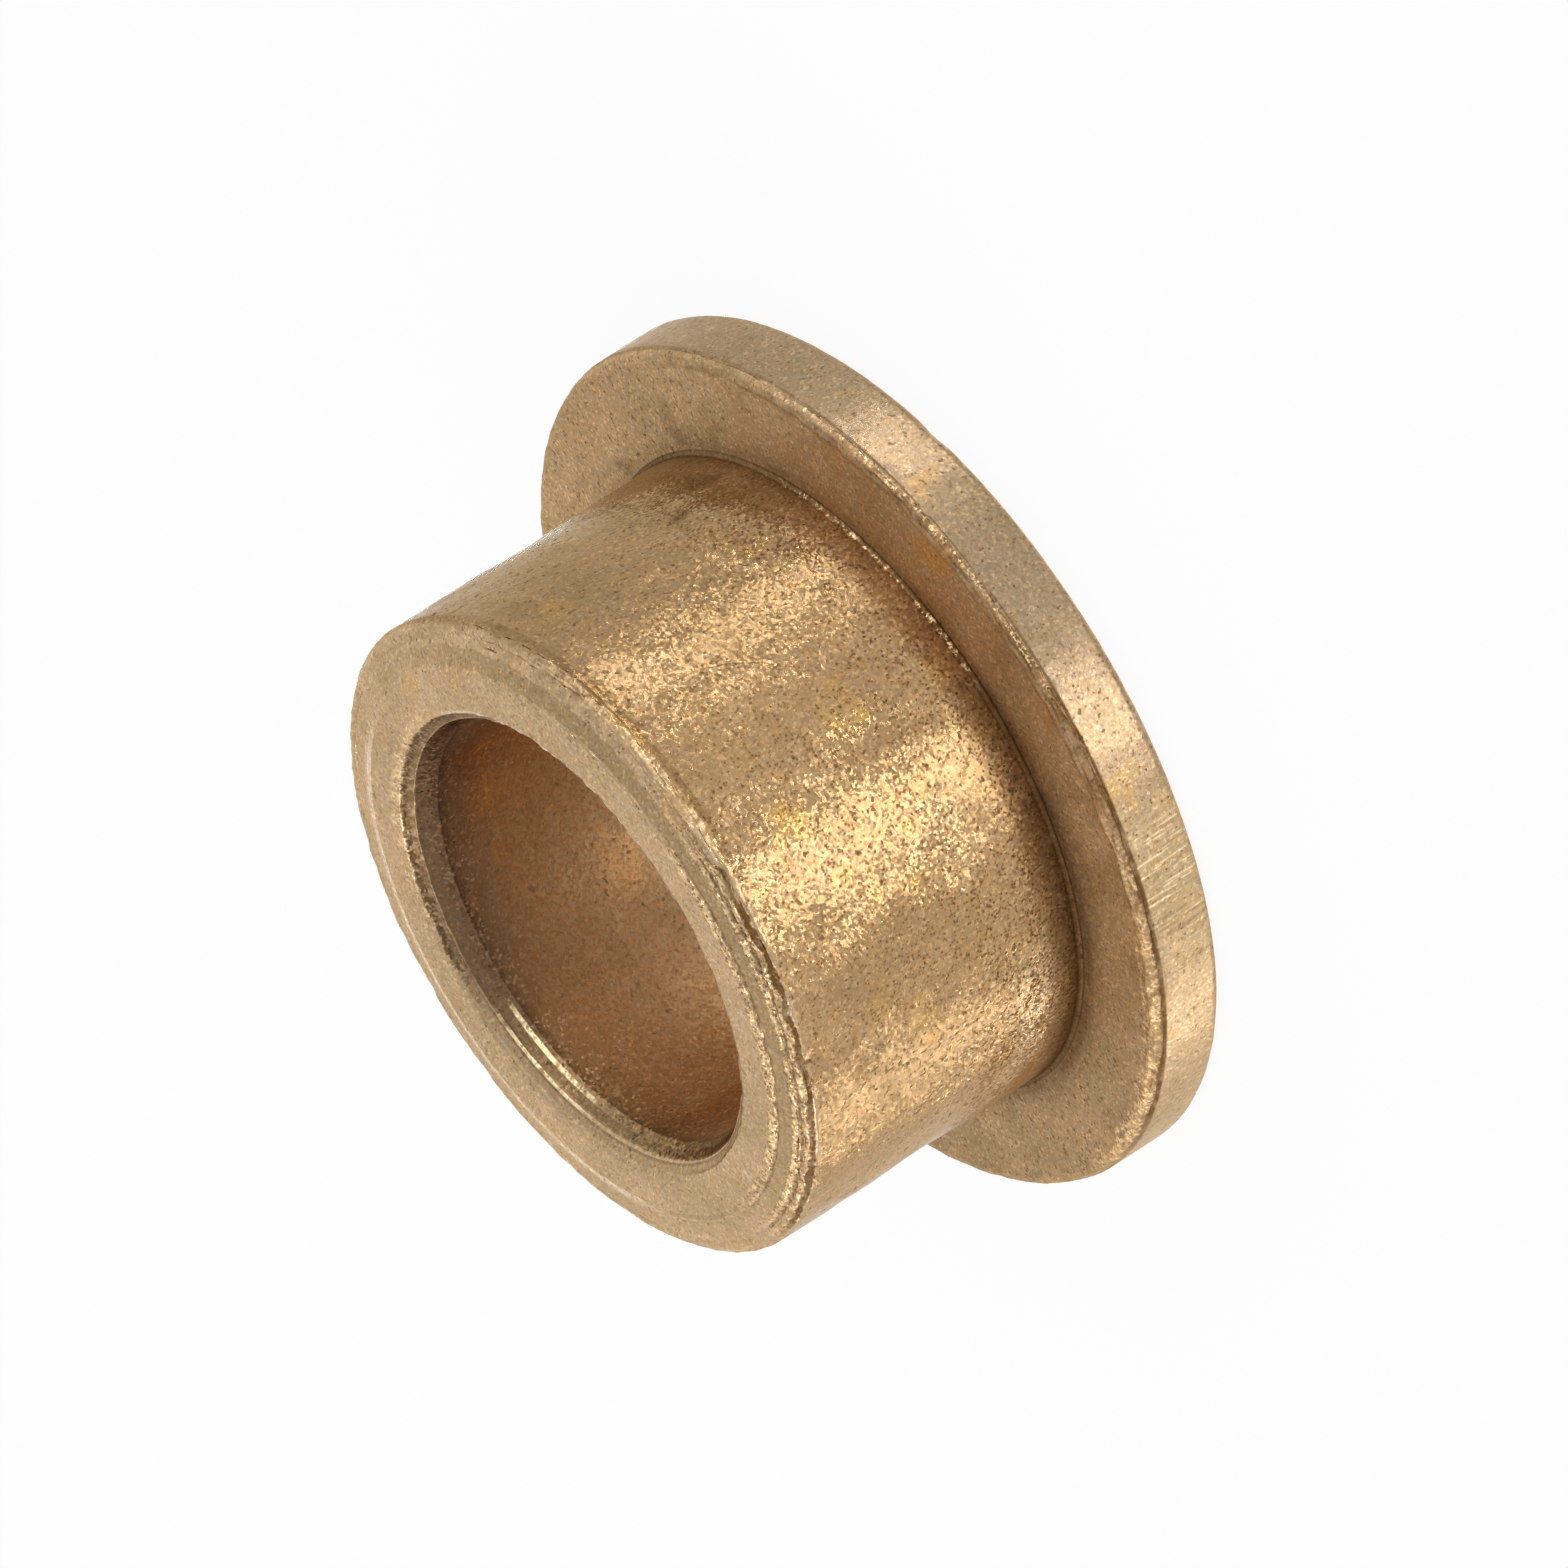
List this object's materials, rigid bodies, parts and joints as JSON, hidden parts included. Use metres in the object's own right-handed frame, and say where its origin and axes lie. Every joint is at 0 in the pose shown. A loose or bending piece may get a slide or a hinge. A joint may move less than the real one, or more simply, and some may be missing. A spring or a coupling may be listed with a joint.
{
  "type": "flanged bushing",
  "caption": "Plain sleeve bushing of sintered bronze with a thin round flange at one end, a through bore and bevelled mouths.",
  "frame": {"origin": "centre of the flange's outer face, on the bore's axis", "axes": "+Z along the bore from the flange to the sleeve's free end; X and Y across it, round part, so either may be the front"},
  "size_m": [0.0159, 0.0158, 0.0074],
  "materials": {
    "bronze": "matt sintered metal with fine open pores"
  },
  "bodies": {
    "root": {"bushing": "bronze"}
  },
  "joints": []
}
